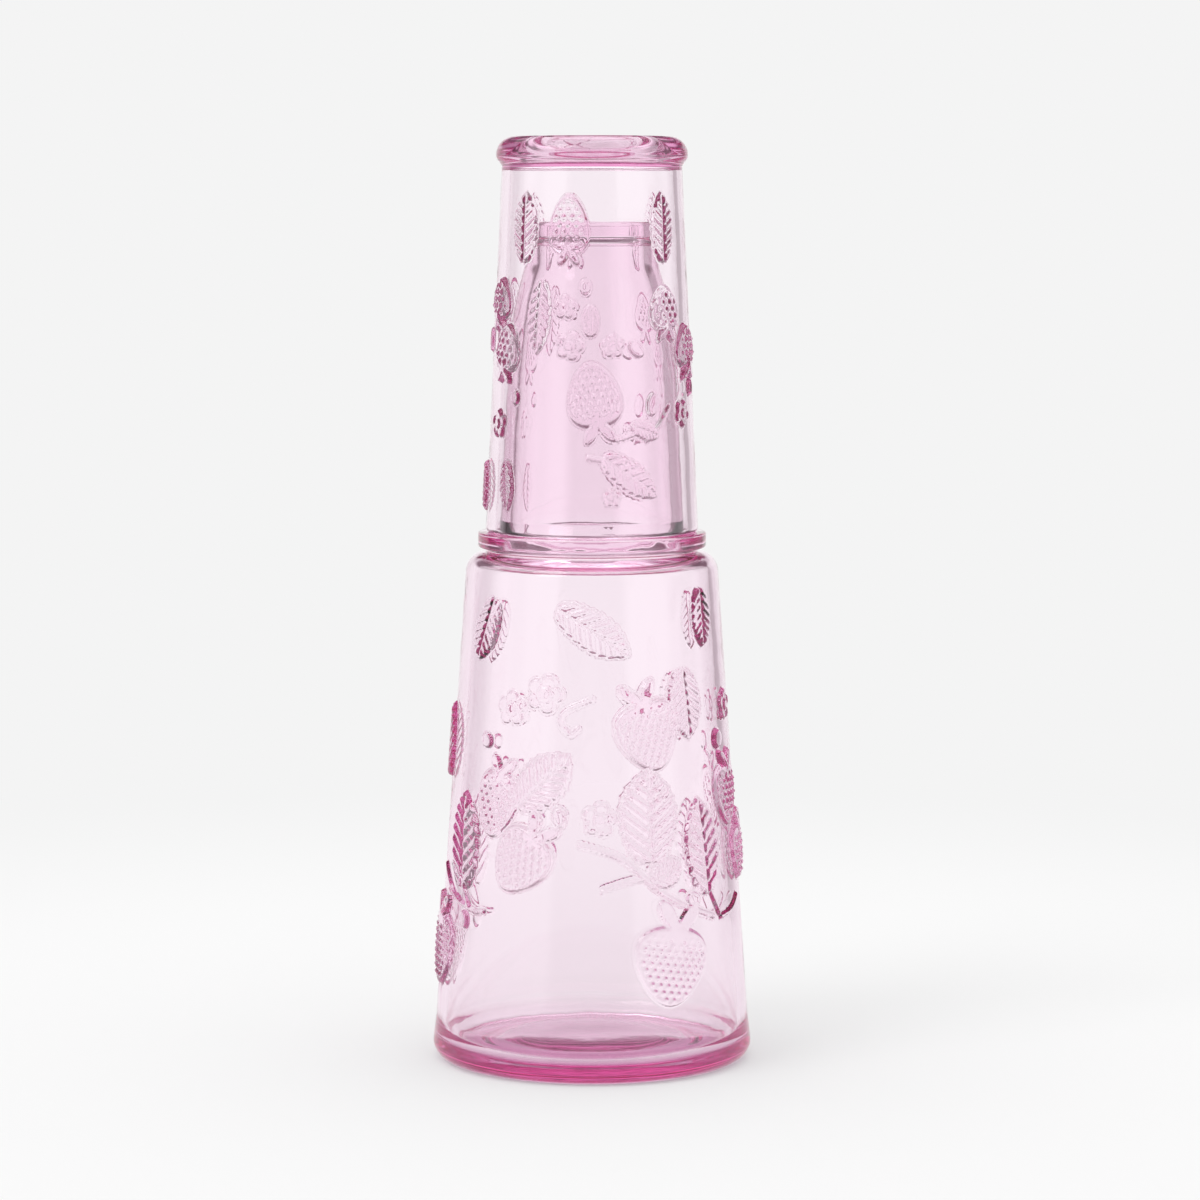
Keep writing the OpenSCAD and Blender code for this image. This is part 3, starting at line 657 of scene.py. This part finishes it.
def room_colour(t, across, away, up=None):
    """Colour of the room by the way it lies from the object, or level with it without up.

    The shade in front, at 180 degrees, is measured from either side.
    """
    turn = t.math("MULTIPLY", t.math("ARCTAN2", across, away), math.degrees(1))
    beside = t.math("ABSOLUTE", turn)
    depth = t.node("LightPath").outputs["Glossy Depth"]
    reflected = t.math("MINIMUM", depth, 1)
    colour = WHITE
    for place, half, dark in SHADES:
        off = t.math("ABSOLUTE", t.math("SUBTRACT", turn if place < 180 else beside, place))
        shade = t.math("MULTIPLY", t.ramp(off, half + SHADE_EDGE / 2, half - SHADE_EDGE / 2), dark)
        colour = t.mix_colour(t.math("MULTIPLY", shade, reflected), colour, SHADE_COLOUR)
    deep = t.ramp(depth, DEEP_FROM, DEEP_TO)
    if up is not None:
        over = t.ramp(up, GAP_LOW - GAP_EDGE / 2, GAP_LOW + GAP_EDGE / 2)
        below = t.ramp(up, GAP_HIGH + GAP_EDGE / 2, GAP_HIGH - GAP_EDGE / 2)
        gap = t.math("MULTIPLY", t.math("MULTIPLY", over, below), t.ramp(beside, GAP_END, GAP_FULL))
        colour = t.mix_colour(t.math("MULTIPLY", gap, GAP_DARK), colour, SHADE_COLOUR)
        colour = t.mix_colour(t.ramp(up, CEILING_LOW, CEILING_HIGH), colour, CEILING_COLOUR)
        spare = t.math("MULTIPLY", t.ramp(up, 0, DEEP_HIGH), DEEP_SPARE)
        deep = t.math("MULTIPLY", deep, t.math("SUBTRACT", 1, spare))
    return t.mix_colour(deep, colour, DEEP_COLOUR, "MULTIPLY")


def floor_material():
    """Matt pale board, with pink light and shade painted on it under the glass, that fades into the
    plain background away from the object.
    """
    material, t = shaded("pale_board")
    place = t.node("TexCoord").outputs["Object"]
    axes = t.node("SeparateXYZ")
    t.link(place, axes.inputs[0])
    away = t.node("VectorMath", operation="LENGTH")
    t.link(place, away.inputs[0])
    distance = away.outputs["Value"]
    # Painted pink light and shade on the board under the glass, in its matt colour and in what the
    # camera sees
    painted_pink_pool = t.ramp(distance, HEEL_RADIUS * MM, PAINTED_PINK_REACH * MM)
    board = t.node("BsdfDiffuse")
    t.link(t.mix_colour(painted_pink_pool, FLOOR_COLOUR, PAINTED_PINK_LIGHT), board.inputs["Color"])
    seen = t.node("Emission")
    t.link(t.mix_colour(painted_pink_pool, BACKGROUND, PAINTED_PINK_LIGHT), seen.inputs["Color"])
    room = t.node("Emission")
    t.link(room_colour(t, axes.outputs["X"], axes.outputs["Y"]), room.inputs["Color"])
    path = t.node("LightPath")
    in_glass = t.math("MAXIMUM", path.outputs["Is Transmission Ray"], path.outputs["Is Glossy Ray"])
    plain = t.math("MAXIMUM", t.math("MULTIPLY", in_glass, FLOOR_IN_GLASS), FLOOR_PLAIN)
    near = t.mix(plain, board.outputs[0], seen.outputs[0])
    glow = t.mix(path.outputs["Is Camera Ray"], room.outputs[0], seen.outputs[0])
    far = t.ramp(distance, FLOOR_NEAR, FLOOR_FAR)
    t.link(t.mix(far, near, glow), t.node("OutputMaterial").inputs["Surface"])
    return material


def make_world():
    """The plain background to the camera, the room to glass, and even white light to the rest."""
    world = bpy.data.worlds.new("studio")
    bpy.context.scene.world = world
    world.use_nodes = True
    t = Shader(world.node_tree)
    axes = t.node("SeparateXYZ")
    t.link(t.node("TexCoord").outputs["Generated"], axes.inputs[0])
    across, away, up = (axes.outputs[k] for k in "XYZ")
    room = t.node("Background")
    t.link(room_colour(t, across, away, up), room.inputs["Color"])
    light = t.set(t.node("Background"), Color=WHITE)
    seen = t.set(t.node("Background"), Color=BACKGROUND)
    path = t.node("LightPath")
    scattered = t.math("MINIMUM", path.outputs["Diffuse Depth"], 1)
    lit = t.mix(scattered, room.outputs[0], light.outputs[0])
    shown = t.mix(path.outputs["Is Camera Ray"], lit, seen.outputs[0])
    t.link(shown, t.node("OutputWorld").inputs["Surface"])


# The scene
scene = bpy.context.scene
carafe = carafe_shell()
tumbler = tumbler_shell()
carafe.data.materials.append(pink_glass("carafe_pink_glass", CARAFE_DENSITY))
tumbler.data.materials.append(pink_glass("tumbler_pink_glass", TUMBLER_DENSITY))
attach(carafe, "carafe")
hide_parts("carafe")
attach(tumbler, "tumbler")
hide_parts("tumbler")

# Floor
FLOOR_REACH, FLOOR_DROP = 4.0, 0.0001
floor_mesh = bpy.data.meshes.new("floor")
floor_mesh.from_pydata([(x * FLOOR_REACH, y * FLOOR_REACH, -FLOOR_DROP) for x, y in
                        ((-1, -1), (1, -1), (1, 1), (-1, 1))], [], [(0, 1, 2, 3)])
floor = bpy.data.objects.new("floor", floor_mesh)
scene.collection.objects.link(floor)
floor.data.materials.append(floor_material())

make_world()

# A large soft key from the upper left: its strength, its spread and how it is tipped
KEY_ENERGY, KEY_SPREAD, KEY_TIP = 0.5, 28, (28, -38, 0)
key_data = bpy.data.lights.new("key", "SUN")
key_data.energy = KEY_ENERGY
key_data.angle = math.radians(KEY_SPREAD)
key = bpy.data.objects.new("key", key_data)
key.rotation_euler = [math.radians(a) for a in KEY_TIP]
scene.collection.objects.link(key)

# Camera: its place in metres, how far it looks down, its sensor and lens in millimetres, and
# its sideways shift, 8 pixels in 1200
CAMERA_PLACE, CAMERA_PITCH = (0, -1.0626, 0.226), 5.7
SENSOR_WIDTH, LENS, SHIFT = 36, 123, 8 / 1200
camera_data = bpy.data.cameras.new("camera")
camera_data.sensor_width = SENSOR_WIDTH
camera_data.lens = LENS
camera_data.shift_x = SHIFT
camera = bpy.data.objects.new("camera", camera_data)
camera.location = CAMERA_PLACE
camera.rotation_euler = (math.radians(90 - CAMERA_PITCH), 0, 0)
scene.collection.objects.link(camera)
scene.camera = camera

# Glass behind glass needs many bounces
scene.view_settings.view_transform = "Standard"
BOUNCES = 32
scene.cycles.max_bounces = BOUNCES
scene.cycles.transmission_bounces = BOUNCES
scene.cycles.glossy_bounces = BOUNCES
